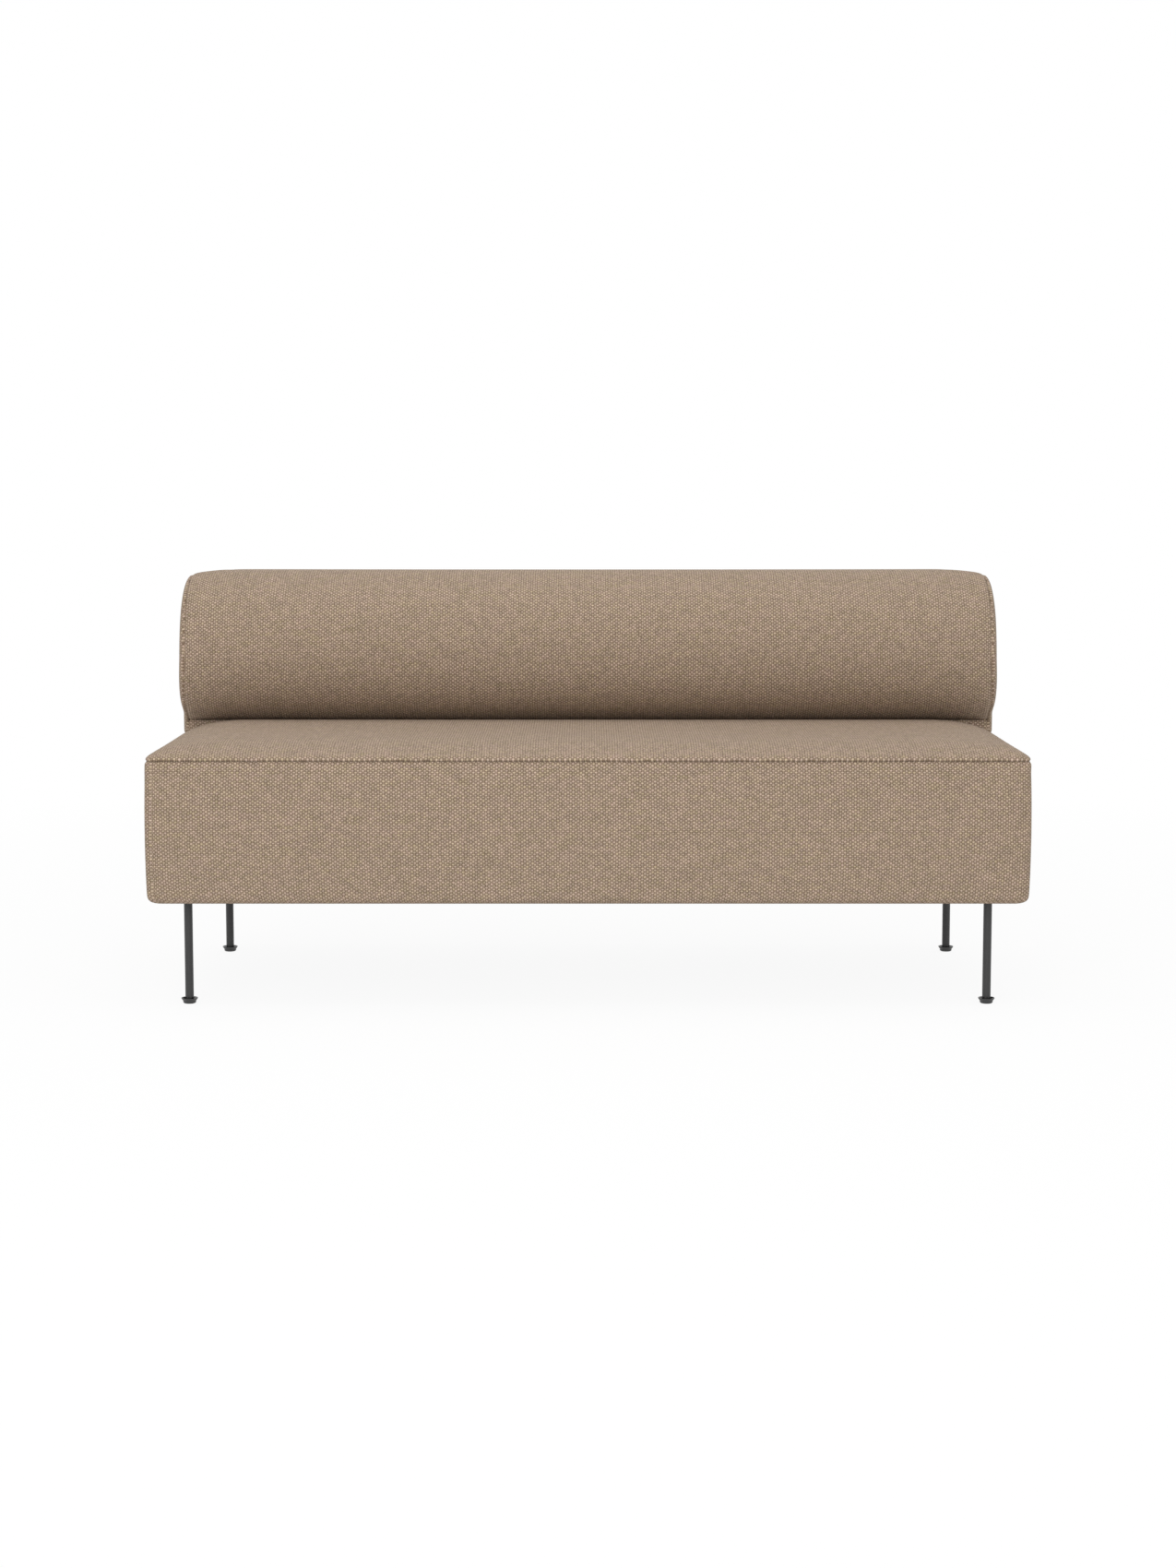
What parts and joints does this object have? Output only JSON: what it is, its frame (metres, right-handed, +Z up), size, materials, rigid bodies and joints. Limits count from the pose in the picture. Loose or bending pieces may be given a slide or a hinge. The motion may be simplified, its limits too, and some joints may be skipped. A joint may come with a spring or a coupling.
{
  "type": "dining sofa",
  "caption": "Armless upholstered dining sofa with a crowned seat block, a bolster backrest and slim round steel legs on screw levelling feet.",
  "frame": {"origin": "on the floor, at the middle of the sofa's width and depth", "axes": "+X along the width to the sitter's left, +Y from the front to the back, +Z up"},
  "size_m": [1.66, 0.72, 0.8015],
  "materials": {
    "woven_fabric": "coarse beige basket weave, matt",
    "foam": "upholstery foam, matt",
    "felt": "grey needled felt",
    "dust_cloth": "thin black nonwoven cloth",
    "frame_timber": "planed pine",
    "frame_plywood": "birch plywood",
    "spring_wire": "oiled spring steel wire",
    "zinc_steel": "zinc plated steel",
    "leg_paint": "dark charcoal powder coat, satin",
    "foot_paint": "dark charcoal powder coat, satin"
  },
  "bodies": {
    "root": {"back_belly_rail": "frame_timber", "back_bottom_board": "frame_plywood", "back_brackets": "zinc_steel", "back_cover_end_left": "woven_fabric", "back_cover_end_right": "woven_fabric", "back_cover_front": "woven_fabric", "back_cover_rear": "woven_fabric", "back_foam": "foam", "back_former_1": "frame_plywood", "back_former_2": "frame_plywood", "back_former_3": "frame_plywood", "back_former_4": "frame_plywood", "back_former_5": "frame_plywood", "back_panel": "frame_plywood", "back_top_rail": "frame_timber", "bracket_bolts": "zinc_steel", "bracket_nuts": "zinc_steel", "corner_blocks": "frame_timber", "cross_rail_left": "frame_timber", "cross_rail_right": "frame_timber", "dust_cover": "dust_cloth", "felt_pad": "felt", "frame_rail_front": "frame_timber", "frame_rail_left": "frame_timber", "frame_rail_rear": "frame_timber", "frame_rail_right": "frame_timber", "leg_bushes": "zinc_steel", "leg_front_left": "leg_paint", "leg_front_right": "leg_paint", "leg_plate_screws": "zinc_steel", "leg_rear_left": "leg_paint", "leg_rear_right": "leg_paint", "padding_front": "foam", "padding_left": "foam", "padding_rear": "foam", "padding_right": "foam", "seat_cover_band": "woven_fabric", "seat_cover_top": "woven_fabric", "seat_foam": "foam", "spring_clips": "zinc_steel", "zigzag_springs": "spring_wire"},
    "foot_pad_front_left": {"foot_pad_front_left": "foot_paint"},
    "foot_screw_front_left": {"foot_screw_front_left": "foot_paint"},
    "foot_pad_front_right": {"foot_pad_front_right": "foot_paint"},
    "foot_screw_front_right": {"foot_screw_front_right": "foot_paint"},
    "foot_pad_rear_left": {"foot_pad_rear_left": "foot_paint"},
    "foot_screw_rear_left": {"foot_screw_rear_left": "foot_paint"},
    "foot_pad_rear_right": {"foot_pad_rear_right": "foot_paint"},
    "foot_screw_rear_right": {"foot_screw_rear_right": "foot_paint"}
  },
  "joints": [
    {"name": "foot_travel_front_left", "type": "slide", "parent": "root", "child": "foot_pad_front_left", "axis": [0, 0, -1], "range_m": [0, 0.01]},
    {"name": "foot_turn_front_left", "type": "hinge", "parent": "foot_pad_front_left", "child": "foot_screw_front_left", "pos_m": [-0.7555, -0.289, 0.011], "axis": [0, 0, 1], "range_deg": [0, 2880]},
    {"name": "foot_travel_front_right", "type": "slide", "parent": "root", "child": "foot_pad_front_right", "axis": [0, 0, -1], "range_m": [0, 0.01]},
    {"name": "foot_turn_front_right", "type": "hinge", "parent": "foot_pad_front_right", "child": "foot_screw_front_right", "pos_m": [0.7555, -0.289, 0.011], "axis": [0, 0, 1], "range_deg": [0, 2880]},
    {"name": "foot_travel_rear_left", "type": "slide", "parent": "root", "child": "foot_pad_rear_left", "axis": [0, 0, -1], "range_m": [0, 0.01]},
    {"name": "foot_turn_rear_left", "type": "hinge", "parent": "foot_pad_rear_left", "child": "foot_screw_rear_left", "pos_m": [-0.7555, 0.289, 0.011], "axis": [0, 0, 1], "range_deg": [0, 2880]},
    {"name": "foot_travel_rear_right", "type": "slide", "parent": "root", "child": "foot_pad_rear_right", "axis": [0, 0, -1], "range_m": [0, 0.01]},
    {"name": "foot_turn_rear_right", "type": "hinge", "parent": "foot_pad_rear_right", "child": "foot_screw_rear_right", "pos_m": [0.7555, 0.289, 0.011], "axis": [0, 0, 1], "range_deg": [0, 2880]}
  ],
  "couplings": [
    {"joint": "foot_turn_front_left", "follows": "foot_travel_front_left", "rad_per_m": 5026.5},
    {"joint": "foot_turn_front_right", "follows": "foot_travel_front_right", "rad_per_m": 5026.5},
    {"joint": "foot_turn_rear_left", "follows": "foot_travel_rear_left", "rad_per_m": 5026.5},
    {"joint": "foot_turn_rear_right", "follows": "foot_travel_rear_right", "rad_per_m": 5026.5}
  ]
}
